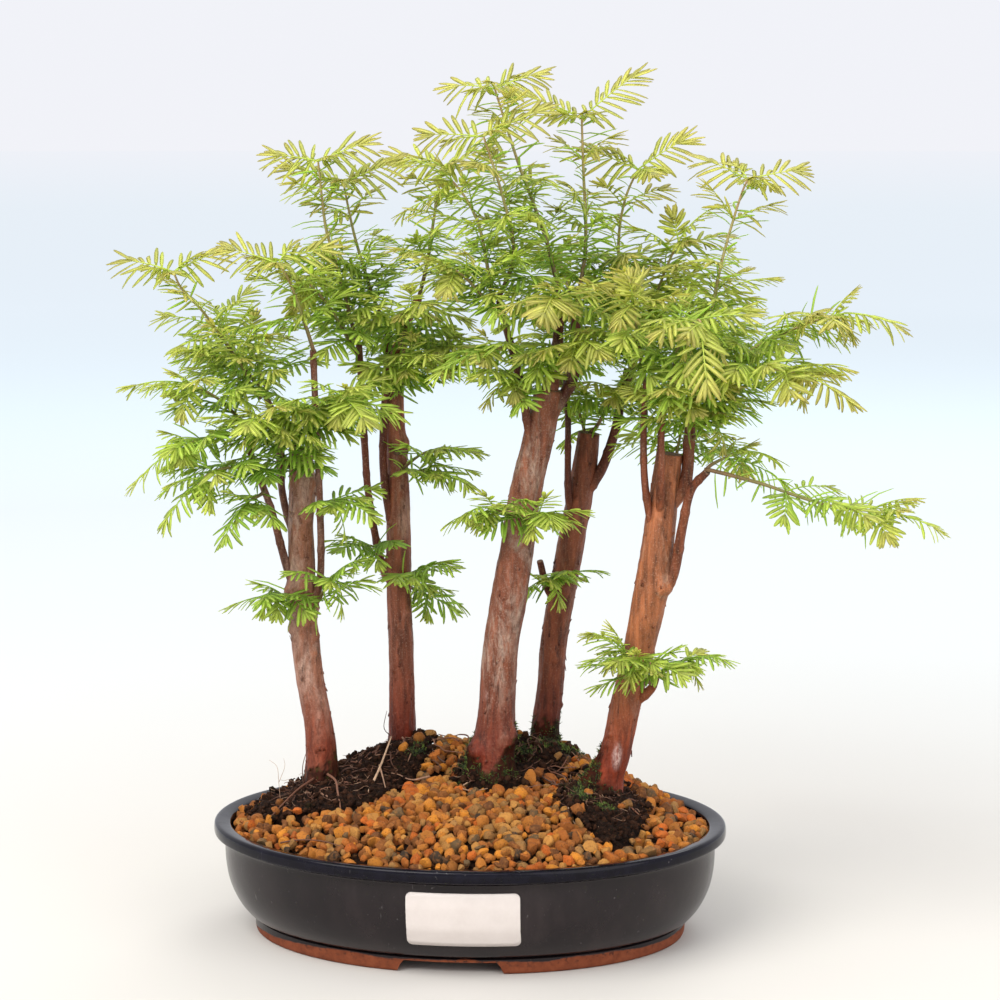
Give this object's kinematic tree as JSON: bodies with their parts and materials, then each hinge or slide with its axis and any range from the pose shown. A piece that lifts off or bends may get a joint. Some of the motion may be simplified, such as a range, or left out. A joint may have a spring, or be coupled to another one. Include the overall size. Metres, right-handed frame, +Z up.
{
  "type": "bonsai forest",
  "caption": "Forest-style dawn redwood bonsai: sawn trunks with upright leafy shoots, planted in grit in a dark glazed oval tray with a blank card on its front.",
  "frame": {"origin": "under the middle of the whole plant's bounding box, at the level of the ground the tray's foot stands on", "axes": "+X along the tray, +Y away from the front with the card, +Z up"},
  "size_m": [0.3616, 0.199, 0.3769],
  "materials": {
    "tray_glaze": "gloss",
    "card": "satin",
    "root_soil": "matte",
    "grit": "matte",
    "bark": "matte",
    "needles": "satin"
  },
  "bodies": {
    "root": {"grit_layer": "grit", "label_card": "card", "shoot_a1": "needles", "shoot_a10": "needles", "shoot_a11": "needles", "shoot_a13": "needles", "shoot_a14": "needles", "shoot_a2": "needles", "shoot_a3": "needles", "shoot_a4": "needles", "shoot_a5": "needles", "shoot_a6": "needles", "shoot_a7": "needles", "shoot_a8": "needles", "shoot_a9": "needles", "shoot_b1": "needles", "shoot_b10": "needles", "shoot_b2": "needles", "shoot_b3": "needles", "shoot_b4": "needles", "shoot_b5": "needles", "shoot_b6": "needles", "shoot_b7": "needles", "shoot_b8": "needles", "shoot_b9": "needles", "shoot_c1": "needles", "shoot_c10": "needles", "shoot_c2": "needles", "shoot_c3": "needles", "shoot_c4": "needles", "shoot_c5": "needles", "shoot_c6": "needles", "shoot_c7": "needles", "shoot_c8": "needles", "shoot_c9": "needles", "shoot_d1": "needles", "shoot_d2": "needles", "shoot_d3": "needles", "shoot_d4": "needles", "shoot_d6": "needles", "shoot_e1": "needles", "shoot_e10": "needles", "shoot_e12": "needles", "shoot_e13": "needles", "shoot_e2": "needles", "shoot_e3": "needles", "shoot_e4": "needles", "shoot_e5": "needles", "shoot_e6": "needles", "shoot_e7": "needles", "shoot_e8": "needles", "shoot_e9": "needles", "soil": "root_soil", "tray": "tray_glaze", "trunk_a": "bark", "trunk_b": "bark", "trunk_c": "bark", "trunk_d": "bark", "trunk_e": "bark"}
  },
  "joints": []
}
